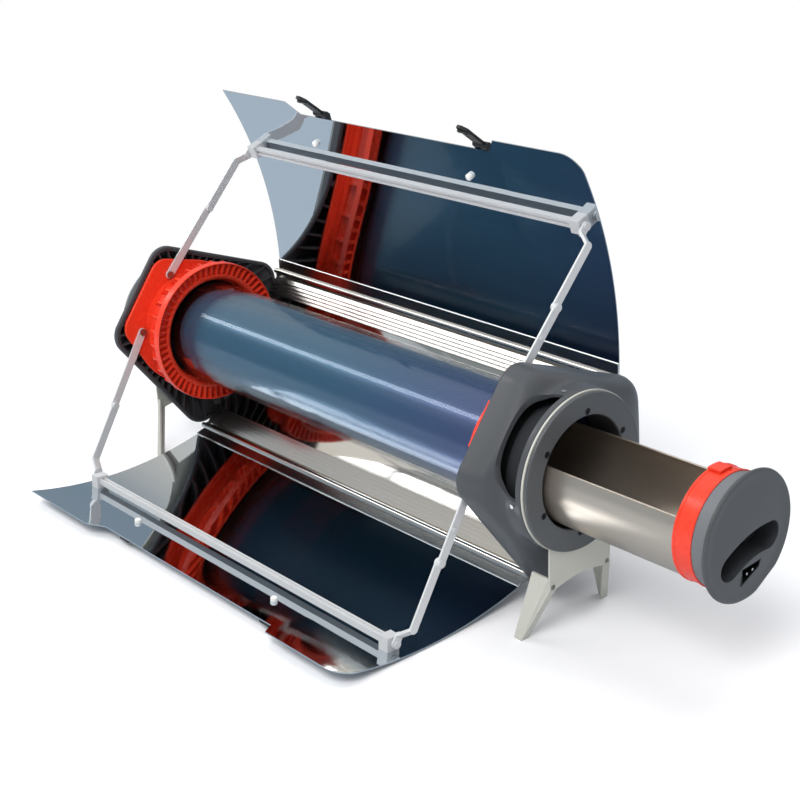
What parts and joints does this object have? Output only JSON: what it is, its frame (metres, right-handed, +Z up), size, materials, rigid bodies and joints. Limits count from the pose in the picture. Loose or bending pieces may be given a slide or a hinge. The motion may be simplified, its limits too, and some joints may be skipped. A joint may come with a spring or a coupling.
{
  "type": "solar oven",
  "caption": "Tabletop solar oven: glass tube with pull-out tray between two end housings, folding curved reflector wings on stays, tilting on two sheet stands.",
  "frame": {"origin": "on the ground, under the middle of the oven's box as it stands open with its tray pulled out", "axes": "+X along the tube towards the tray's cap, -Y towards the sun, +Z up"},
  "size_m": [0.8163, 0.3599, 0.4256],
  "materials": {
    "stand_paint": "satin",
    "rivet_steel": "satin",
    "bright_screw": "polished",
    "housing_grey": "satin",
    "frame_black": "matte",
    "liner_red": "gloss",
    "disc_grey": "satin",
    "seal_rubber": "matte",
    "clear_glass": "gloss",
    "tube_coating": "gloss",
    "rail_aluminium": "satin",
    "back_mirror": "polished",
    "wing_mirror": "polished",
    "stay_aluminium": "satin",
    "bumper_white": "satin",
    "latch_black": "satin",
    "cap_grey": "satin",
    "plug_grey": "satin",
    "inlet_black": "gloss",
    "heater_steel": "satin",
    "tray_steel": "brushed"
  },
  "bodies": {
    "stands": {"stand_near": "stand_paint", "stand_far": "stand_paint", "stand_rivets": "rivet_steel"},
    "oven": {"near_housing": "housing_grey", "far_housing": "housing_grey", "near_frame": "frame_black", "far_frame": "frame_black", "near_liner": "liner_red", "far_liner": "liner_red", "face_disc": "disc_grey", "far_disc": "disc_grey", "disc_screws": "rivet_steel", "grip_screws": "bright_screw", "mouth_collar": "frame_black", "far_hub": "frame_black", "tube_seal": "seal_rubber", "tube_cup": "seal_rubber", "glass_envelope": "clear_glass", "absorber_tube": "tube_coating", "tube_clips": "bright_screw", "rail_upper": "rail_aluminium", "rail_lower": "rail_aluminium", "back_reflector": "back_mirror", "stay_pivots": "stay_aluminium"},
    "upper_wing": {"wing_upper": "wing_mirror", "hinge_strip_upper": "rail_aluminium", "bar_upper": "stay_aluminium", "bar_brackets_upper": "stay_aluminium", "bumpers_upper": "bumper_white", "latch_brackets": "latch_black"},
    "lower_wing": {"wing_lower": "wing_mirror", "hinge_strip_lower": "rail_aluminium", "bar_lower": "stay_aluminium", "bar_brackets_lower": "stay_aluminium", "bumpers_lower": "bumper_white", "latch_keepers": "latch_black"},
    "arms_upper": {"arm_upper_near": "stay_aluminium", "arm_upper_far": "stay_aluminium"},
    "links_upper": {"link_upper_near": "stay_aluminium", "link_upper_far": "stay_aluminium"},
    "arms_lower": {"arm_lower_near": "stay_aluminium", "arm_lower_far": "stay_aluminium"},
    "links_lower": {"link_lower_near": "stay_aluminium", "link_lower_far": "stay_aluminium"},
    "near_latch": {"latch_near": "latch_black"},
    "far_latch": {"latch_far": "latch_black"},
    "tray_plug": {"cap": "cap_grey", "plug": "plug_grey", "clamp_ring": "liner_red", "inlet_block": "inlet_black", "inlet_pins": "bright_screw", "heater_coil": "heater_steel", "thermostat": "bright_screw"},
    "tray_trough": {"tray": "tray_steel"}
  },
  "joints": [
    {"name": "tilt", "type": "hinge", "parent": "stands", "child": "oven", "pos_m": [-0.10665, 0.04787, 0.154], "axis": [-1, 0, 0], "range_deg": [0, 53]},
    {"name": "fold_upper", "type": "hinge", "parent": "oven", "child": "upper_wing", "pos_m": [-0.10665, 0.1759, 0.18665], "axis": [1, 0, 0], "range_deg": [0, 59]},
    {"name": "fold_lower", "type": "hinge", "parent": "oven", "child": "lower_wing", "pos_m": [-0.10665, 0.05409, 0.02202], "axis": [-1, 0, 0], "range_deg": [0, 59]},
    {"name": "arm_upper_swing", "type": "hinge", "parent": "oven", "child": "arms_upper", "pos_m": [-0.10665, 0.02507, 0.21565], "axis": [1, 0, 0], "range_deg": [0, 111.07]},
    {"name": "link_upper_swing", "type": "hinge", "parent": "upper_wing", "child": "links_upper", "pos_m": [-0.10665, 0.13914, 0.34249], "axis": [1, 0, 0], "range_deg": [-116.39, 0]},
    {"name": "arm_lower_swing", "type": "hinge", "parent": "oven", "child": "arms_lower", "pos_m": [-0.10665, -0.01775, 0.15778], "axis": [-1, 0, 0], "range_deg": [0, 111.07]},
    {"name": "link_lower_swing", "type": "hinge", "parent": "lower_wing", "child": "links_lower", "pos_m": [-0.10665, -0.1057, 0.01161], "axis": [-1, 0, 0], "range_deg": [-116.39, 0]},
    {"name": "latch_near_turn", "type": "hinge", "parent": "upper_wing", "child": "near_latch", "pos_m": [0.03285, 0.12196, 0.40362], "axis": [1, 0, 0], "range_deg": [-60, 24]},
    {"name": "latch_far_turn", "type": "hinge", "parent": "upper_wing", "child": "far_latch", "pos_m": [-0.20815, 0.12196, 0.40362], "axis": [1, 0, 0], "range_deg": [-60, 24]},
    {"name": "tray_slide", "type": "slide", "parent": "oven", "child": "tray_plug", "axis": [1, 0, 0], "range_m": [-0.17, 0.27]},
    {"name": "tray_turn", "type": "hinge", "parent": "tray_plug", "child": "tray_trough", "pos_m": [0.38755, 0.04787, 0.1531], "axis": [1, 0, 0], "range_deg": [-70, 70]}
  ],
  "couplings": [
    {"joint": "arm_upper_swing", "follows": "fold_upper", "ratio": 1.8741},
    {"joint": "link_upper_swing", "follows": "fold_upper", "ratio": -1.9643},
    {"joint": "arm_lower_swing", "follows": "fold_lower", "ratio": 1.8741},
    {"joint": "link_lower_swing", "follows": "fold_lower", "ratio": -1.9643}
  ]
}
